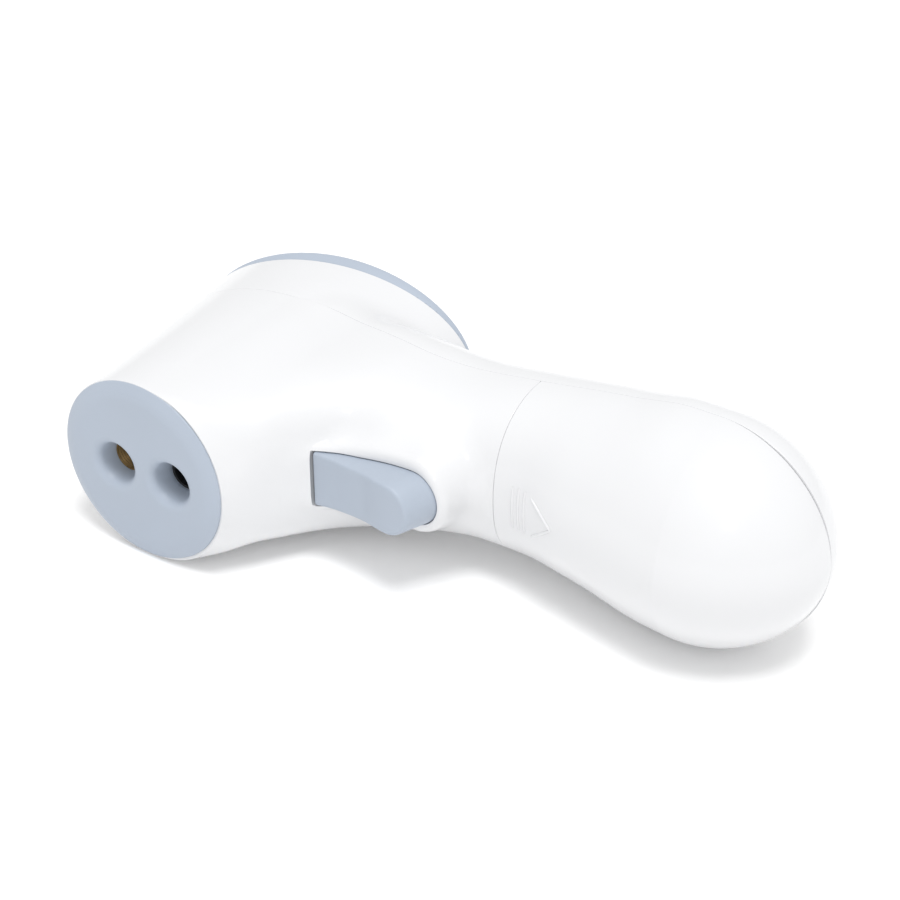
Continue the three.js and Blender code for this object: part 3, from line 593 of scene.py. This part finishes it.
def joined(*parts):
    """Several (points, faces, normals) or (points, faces) shapes as one."""
    points, faces, normals, total = [], [], [], 0
    for part in parts:
        points.append(part[0])
        faces.append(part[1] + total)
        normals.append(part[2] if len(part) > 2 else np.zeros_like(part[0]))
        total += len(part[0])
    return np.concatenate(points), np.concatenate(faces), np.concatenate(normals)


# ---------- from the tool's frame to the CAD frame ----------
LAY = np.array(Matrix.Rotation(-REST_TILT, 3, "Y"))


def lay(points):
    return (points @ LAY.T + REST_SHIFT) * MM


def from_display(points):
    """From the display end's own frame to the tool's."""
    return points @ DISPLAY_TURN.T + np.array([DISPLAY_X, DISPLAY_Y, 0])


def field_shape(field, low, high, step):
    points, triangles = surface(field, low, high, step)
    return points, triangles, unit(slope_of(field, points))


def display_shape(field, low, high, step):
    """A shape from a field in the display end's frame."""
    points, triangles, normals = field_shape(field, low, high, step)
    return from_display(points), triangles, normals @ DISPLAY_TURN.T


# ---------- materials ----------
def shader(name):
    material = bpy.data.materials.new(name)
    material.use_nodes = True
    tree = material.node_tree
    return material, tree, tree.nodes["Principled BSDF"]


def noise(tree, scale, detail=3.0, roughness=0.5):
    """Noise laid out in the object's own space, with features about 1/scale metres across."""
    place = tree.nodes.new("ShaderNodeTexCoord")
    texture = tree.nodes.new("ShaderNodeTexNoise")
    texture.inputs["Scale"].default_value = scale
    texture.inputs["Detail"].default_value = detail
    texture.inputs["Roughness"].default_value = roughness
    tree.links.new(place.outputs["Object"], texture.inputs["Vector"])
    return texture.outputs["Fac"]


def tint(tree, factor, first, second, socket):
    """A colour that drifts between two with a factor."""
    ramp = tree.nodes.new("ShaderNodeValToRGB")
    ramp.color_ramp.elements[0].position = 0.3
    ramp.color_ramp.elements[1].position = 0.7
    ramp.color_ramp.elements[0].color = (*first, 1)
    ramp.color_ramp.elements[1].color = (*second, 1)
    tree.links.new(factor, ramp.inputs["Fac"])
    tree.links.new(ramp.outputs["Color"], socket)


NOISE_RANGE = (0.2, 0.8)        # where a noise texture's values mostly lie
COAT_ROUGHNESS = 0.1


def spread(tree, factor, low, high, socket):
    """A value that drifts between two with a factor."""
    remap = tree.nodes.new("ShaderNodeMapRange")
    remap.clamp = False
    remap.inputs["From Min"].default_value = NOISE_RANGE[0]
    remap.inputs["From Max"].default_value = NOISE_RANGE[1]
    remap.inputs["To Min"].default_value = low
    remap.inputs["To Max"].default_value = high
    tree.links.new(factor, remap.inputs["Value"])
    tree.links.new(remap.outputs["Result"], socket)


def bump(tree, factor, strength, depth, principled):
    node = tree.nodes.new("ShaderNodeBump")
    node.inputs["Strength"].default_value = strength
    node.inputs["Distance"].default_value = depth
    tree.links.new(factor, node.inputs["Height"])
    tree.links.new(node.outputs["Normal"], principled.inputs["Normal"])


def shifted(colour, by):
    return tuple(min(max(channel * by, 0), 1) for channel in colour)


def moulded(name, colour, roughness, grain, depth, drift=0.02, strength=0.25, coat=0.0):
    """Injection-moulded plastic: faint flow marks, a fine skin, and uneven polish."""
    material, tree, principled = shader(name)
    tint(tree, noise(tree, 60, 4), shifted(colour, 1 - drift), shifted(colour, 1 + drift),
         principled.inputs["Base Color"])
    spread(tree, noise(tree, 120, 2), roughness * 0.85, roughness * 1.2,
           principled.inputs["Roughness"])
    bump(tree, noise(tree, grain, 4, 0.55), strength, depth, principled)
    principled.inputs["IOR"].default_value = 1.5
    principled.inputs["Coat Weight"].default_value = coat
    principled.inputs["Coat Roughness"].default_value = COAT_ROUGHNESS
    return material


def metal(name, colour, roughness, grain):
    material, tree, principled = shader(name)
    tint(tree, noise(tree, 300, 5), shifted(colour, 0.9), shifted(colour, 1.06),
         principled.inputs["Base Color"])
    spread(tree, noise(tree, 900, 4), roughness * 0.7, roughness * 1.35,
           principled.inputs["Roughness"])
    bump(tree, noise(tree, grain, 3), 0.2, 0.00004, principled)
    principled.inputs["Metallic"].default_value = 1.0
    return material


def laminate(name):
    """Solder-masked board: copper tracks show through as a paler green."""
    material, tree, principled = shader(name)
    place = tree.nodes.new("ShaderNodeTexCoord")
    tracks = tree.nodes.new("ShaderNodeTexVoronoi")
    tracks.feature = "DISTANCE_TO_EDGE"
    tracks.inputs["Scale"].default_value = 420
    tree.links.new(place.outputs["Object"], tracks.inputs["Vector"])
    ramp = tree.nodes.new("ShaderNodeValToRGB")
    ramp.color_ramp.interpolation = "CONSTANT"
    ramp.color_ramp.elements[0].color = (0.035, 0.19, 0.085, 1)
    ramp.color_ramp.elements[1].color = (0.01, 0.085, 0.035, 1)
    ramp.color_ramp.elements[1].position = 0.09
    tree.links.new(tracks.outputs["Distance"], ramp.inputs["Fac"])
    tree.links.new(ramp.outputs["Color"], principled.inputs["Base Color"])
    spread(tree, noise(tree, 500), 0.3, 0.45, principled.inputs["Roughness"])
    bump(tree, tracks.outputs["Distance"], 0.3, 0.00005, principled)
    return material


def tinted_window(name, colour, see_through):
    material, tree, principled = shader(name)
    tint(tree, noise(tree, 80), shifted(colour, 0.92), shifted(colour, 1.08),
         principled.inputs["Base Color"])
    spread(tree, noise(tree, 350, 4), 0.04, 0.1, principled.inputs["Roughness"])
    principled.inputs["Alpha"].default_value = 1 - see_through
    principled.inputs["IOR"].default_value = 1.58
    return material


WHITE = (0.73, 0.734, 0.746)
BLUE_GREY = (0.4, 0.452, 0.53)
# The numbers of moulded() and metal() are roughness and grain per metre, and moulded()'s last one is
# how deep its grain is, in metres.
MATERIALS = {
    "white_plastic": moulded("gloss_white_plastic", WHITE, 0.36, 150, 0.00003, drift=0.006,
                             strength=0.06, coat=0.6),
    "blue_grey_plastic": moulded("satin_blue_grey_plastic", BLUE_GREY, 0.46, 5200, 0.00004),
    "white_inner_plastic": moulded("plain_white_plastic", (0.8, 0.8, 0.79), 0.5, 2500, 0.00004),
    "black_plastic": moulded("matt_black_plastic", (0.012, 0.012, 0.013), 0.55, 3000, 0.00005),
    "clear_window": tinted_window("smoked_window", (0.03, 0.036, 0.042), 0.55),
    "lcd": tinted_window("display_glass", (0.36, 0.41, 0.36), 0.0),
    "sensor_window": tinted_window("infrared_filter", (0.02, 0.018, 0.02), 0.0),
    "rubber": moulded("grey_silicone", (0.28, 0.3, 0.33), 0.7, 1800, 0.00006),
    "circuit_board": laminate("circuit_board_laminate"),
    "brass": metal("turned_brass", (0.36, 0.235, 0.1), 0.36, 4000),
    "steel": metal("plated_steel", (0.6, 0.61, 0.62), 0.3, 3000),
    "cell_sleeve": moulded("cell_sleeve_film", (0.03, 0.075, 0.17), 0.3, 900, 0.00003, drift=0.06),
    "red_insulation": moulded("red_wire_insulation", (0.4, 0.022, 0.02), 0.5, 2200, 0.00004),
    "black_insulation": moulded("black_wire_insulation", (0.014, 0.014, 0.016), 0.55, 2200, 0.00004),
}
for row in frame["record"]["subparts"]:
    node = frame["nodes"][row["node"]]
    node.data.materials.clear()
    node.data.materials.append(MATERIALS[row["material_slot"]])


def piece(name, shape, body, nodes, slot, sharp=35):
    """A Blender object from a shape in the tool's frame, riding on a CAD body.

    Edges sharper than sharp, in degrees, stay crisp. It stands for the CAD nodes named.
    """
    points, faces = shape[0], shape[1]
    normals = shape[2] if len(shape) > 2 else None
    mesh = bpy.data.meshes.new(name)
    mesh.from_pydata(lay(points).tolist(), [], faces.tolist())
    mesh.polygons.foreach_set("use_smooth", [True] * len(mesh.polygons))
    mesh.set_sharp_from_angle(angle=math.radians(sharp))
    if normals is not None:
        mesh.normals_split_custom_set_from_vertices((normals @ LAY.T).tolist())
    mesh.materials.append(MATERIALS[slot])
    made = bpy.data.objects.new(name, mesh)
    bpy.context.scene.collection.objects.link(made)
    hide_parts(*nodes)
    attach(made, body)
    return made


# ---------- cuts between the mouldings ----------
def in_front(x, y, z):
    """Negative on the front shell's side of the split line."""
    slope = split_y(x + 0.5) - split_y(x - 0.5)
    return (y - split_y(x)) / np.sqrt(1 + slope ** 2) + SEAM_HALF_GAP + SEAM_EDGE


def behind(x, y, z):
    return 2 * (SEAM_HALF_GAP + SEAM_EDGE) - in_front(x, y, z)


def up_the_neck(x, y, z):
    return x - COVER_START + SEAM_HALF_GAP + SEAM_EDGE


def down_the_handle(x, y, z):
    return COVER_START - x + SEAM_HALF_GAP + SEAM_EDGE


def past_face(x, y, z):
    return FACE_SEAM + SEAM_HALF_GAP + SEAM_EDGE - y


def below_display(x, y, z):
    return display_height(x, y) + SEAM_HALF_GAP + SEAM_EDGE


# The steps that a cut edge takes into the wall, as (outward, deep) places.
PLAIN_WALL = [(0, 0.8), (0, 1.2), (0, 1.6), (0, WALL)]
TONGUE = [(0, 0.95), (0.8, 0.95), (0.8, 1.65), (0, 1.65)]
LEDGE = [(0, 0.8), (-1.0, 0.8), (-1.0, 1.8), (-1.0, WALL)]
POCKET_WALL = [(0, 1.2), (0, 2.4), (0, 3.6), (0, 4.8)]


def front_shell():
    def pocket(x, y, z):
        sides = trigger_sides(x, z, TRIGGER_END_CENTRE, TRIGGER_HALF_WIDTH + POCKET_GAP)
        outline = np.maximum(sides, TRIGGER_HEAD_X - POCKET_GAP - x)
        return np.minimum(-outline, POCKET_END - y) + SEAM_EDGE

    limits = [pocket, in_front, up_the_neck, past_face]
    return moulding(body_field, limits, [POCKET_WALL, TONGUE, TONGUE, PLAIN_WALL], straight=pocket)


def rear_shell():
    return moulding(body_field, [behind, below_display], [LEDGE, LEDGE])


def battery_cover():
    skin = moulding(body_field, [in_front, down_the_handle], [PLAIN_WALL, PLAIN_WALL])
    paths = [[(x, RIDGE_Y, z) for z in RIDGE_ZS] for x in RIDGE_XS]
    ridges = [ridge(body_field, path, RIDGE_WIDTH, RIDGE_HEIGHT) for path in paths]
    arrow = ridge(body_field, ARROW, ARROW_WIDTH, ARROW_HEIGHT)
    return joined(skin, *ridges, arrow)


def button(z):
    """A button cap with a shallow dish, in the display end's frame."""
    radius = BUTTON_RADIUS
    flange = radius + BUTTON_FLANGE
    outline = [(0, -2.2), (flange, -2.2), (flange, -1.4), (radius, -1.4), (radius, BUTTON_SIDE_TOP)]
    outline += [(radius - BUTTON_EDGE + BUTTON_EDGE * math.cos(angle),
                 BUTTON_SIDE_TOP + BUTTON_EDGE * math.sin(angle))
                for angle in np.radians((30, 60, 90))]
    outline += [(1.8, 3.72), (1.0, 3.58), (0, 3.52)]
    points, faces = turned(outline, BUTTON_X, z, 40)
    return from_display(points), faces[:, ::-1]


def dome(z):
    """One rubber dome of the button membrane, in the display end's frame."""
    outline = [(0, -5.3), (2.2, -5.3), (2.2, -4.6), (1.72, -2.8), (1.64, -2.6), (1.45, -2.5), (0, -2.5)]
    points, faces = turned(outline, BUTTON_X, z, 32)
    return from_display(points), faces[:, ::-1]


def threaded_tube():
    """The brass tube, with the fine rings inside it that cut stray light."""
    outline = [(2.75, 13.2), (3.15, 13.2), (3.15, 3.1), (3.05, 3.0), (2.85, 3.0)]
    for number in range(18):
        y = 3.2 + number * 0.54
        outline += [(2.75, y), (2.92, y + 0.27)]
    outline.append((2.75, 13.2))
    points, faces = turned(outline, SENSOR_X, 0, 64)
    return points, faces[:, ::-1]


# ---------- the pieces; the box round each field is a little bigger than its shape ----------
piece("front_moulding", front_shell(), "housing", ["front_shell"], "white_plastic")
piece("rear_moulding", rear_shell(), "housing", ["rear_shell"], "white_plastic")
piece("cover_moulding", battery_cover(), "cover_part", ["battery_cover"], "white_plastic")
piece("sensor_end", field_shape(bezel_field, (-19.1, -2, -19.1), (19.1, 6, 19.1), BEZEL_STEP),
      "housing", ["sensor_bezel"], "blue_grey_plastic")
piece("trigger_moulding", field_shape(trigger_field, (26, 11, -7), (53, 23, 7), TRIGGER_STEP),
      "trigger_part", ["trigger"], "blue_grey_plastic")

wound_wire = coil(SPRING_RADIUS, SPRING_WIRE, SPRING_TURNS, TRIGGER_BACK + SPRING_GAP, SPRING_SEAT,
                  SPRING_X)
spring = piece("return_spring", wound_wire, "housing", ["trigger_spring"], "steel")
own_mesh(spring)

piece("display_end", display_shape(display_field, (-31, -1, -19), (31, 5, 19), DISPLAY_STEP),
      "housing", ["display_bezel"], "blue_grey_plastic")
for name, z in zip(BUTTON_NAMES, BUTTON_ZS):
    piece(name + "_cap", button(z), name + "_part", [name], "white_inner_plastic")
piece("membrane_sheet", display_shape(membrane_field, (12, -6, -14), (20, -4, 14), MEMBRANE_STEP),
      "housing", ["button_membrane"], "rubber")
for name, z in zip(BUTTON_NAMES, BUTTON_ZS):
    soft = piece(name + "_dome", dome(z), "housing", ["button_membrane"], "rubber")
    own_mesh(soft)
piece("sensor_barrel", threaded_tube(), "housing", ["sensor_tube"], "brass", sharp=25)


# ---------- floor, lights and camera ----------
FLOOR_SIZE = 4.0                # metres
FLOOR_GLOW = 0.06               # a light table, faintly lit from below
AMBIENT = 0.78


def floor():
    bpy.ops.mesh.primitive_plane_add(size=FLOOR_SIZE)
    plane = bpy.context.object
    plane.name = "floor"
    material, tree, principled = shader("white_floor")
    tint(tree, noise(tree, 3), (0.93, 0.93, 0.93), (0.94, 0.94, 0.94),
         principled.inputs["Base Color"])
    principled.inputs["Roughness"].default_value = 0.9
    principled.inputs["Specular IOR Level"].default_value = 0.1
    principled.inputs["Emission Color"].default_value = (1, 1, 1, 1)
    principled.inputs["Emission Strength"].default_value = FLOOR_GLOW
    plane.data.materials.append(material)


def lamp(name, place, aim, size, power):
    """A square soft box: its place, aim and size in metres, its power in watts."""
    data = bpy.data.lights.new(name, "AREA")
    data.shape = "SQUARE"
    data.size = size
    data.energy = power
    made = bpy.data.objects.new(name, data)
    bpy.context.scene.collection.objects.link(made)
    back = np.array(place, float) - np.array(aim, float)
    made.location = place
    made.rotation_mode = "QUATERNION"
    made.rotation_quaternion = Vector(back).to_track_quat("Z", "Y")


def surroundings(strength):
    world = bpy.data.worlds.new("studio")
    world.use_nodes = True
    world.node_tree.nodes["Background"].inputs["Color"].default_value = (1, 1, 1, 1)
    world.node_tree.nodes["Background"].inputs["Strength"].default_value = strength
    bpy.context.scene.world = world


CAMERA_AZIMUTH = math.radians(33.28)
CAMERA_ELEVATION = math.radians(31.6)
CAMERA_BACK = 358.8             # from the middle of the sensor face, along the view
CAMERA_RIGHT = 55.3             # and then across and up the view, onto the middle of the tool
CAMERA_UP = 3.8
LENS = 80.0


def camera():
    """Looks down on the tool from in front of its sensor face, beside the handle."""
    sin_a, cos_a = math.sin(CAMERA_AZIMUTH), math.cos(CAMERA_AZIMUTH)
    sin_e, cos_e = math.sin(CAMERA_ELEVATION), math.cos(CAMERA_ELEVATION)
    back = np.array([sin_a * cos_e, -cos_a * cos_e, sin_e])
    right = np.array([cos_a, sin_a, 0])
    up = np.cross(back, right)
    place = back * CAMERA_BACK + right * CAMERA_RIGHT + up * CAMERA_UP
    data = bpy.data.cameras.new("camera")
    data.sensor_width = 36.0
    data.lens = LENS
    data.clip_start = 0.01
    made = bpy.data.objects.new("camera", data)
    bpy.context.scene.collection.objects.link(made)
    axes = LAY @ np.stack([right, up, back], 1)
    made.matrix_world = Matrix.Translation(lay(place)) @ Matrix(axes.tolist()).to_4x4()
    bpy.context.scene.camera = made


floor()
surroundings(AMBIENT)
lamp("key", place=(0.24, -0.28, 1.3), aim=(0, 0, 0.02), size=0.45, power=9.8)
lamp("window", place=(0.53, -0.73, 0.7), aim=(0.05, 0, 0.02), size=0.13, power=0.45)
bpy.context.scene.view_settings.view_transform = "Standard"
camera()

bpy.context.view_layer.update()
